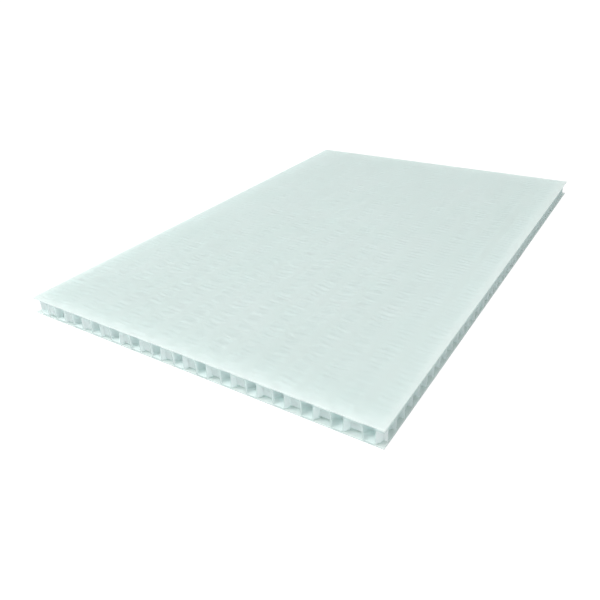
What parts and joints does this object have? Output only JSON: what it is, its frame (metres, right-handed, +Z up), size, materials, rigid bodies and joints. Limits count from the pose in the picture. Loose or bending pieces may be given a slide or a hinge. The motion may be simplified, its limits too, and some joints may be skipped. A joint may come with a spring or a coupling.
{
  "type": "plastic honeycomb board",
  "caption": "Light flat sandwich board: two thin plastic skins welded to a folded honeycomb core, with its cells open along the cut edges.",
  "frame": {"origin": "under the middle of the board, on the surface it lies on", "axes": "+Z up through the board's thickness, +Y along its long side and across the rows of cells, +X along its short side and along the rows of cells"},
  "size_m": [0.22, 0.33, 0.01],
  "materials": {
    "skin": "satin natural polypropylene sheet, pale milky green-white",
    "core": "thin folded natural polypropylene film, satin, slightly translucent"
  },
  "bodies": {
    "root": {"bottom_skin": "skin", "honeycomb_core": "core", "top_skin": "skin"}
  },
  "joints": []
}
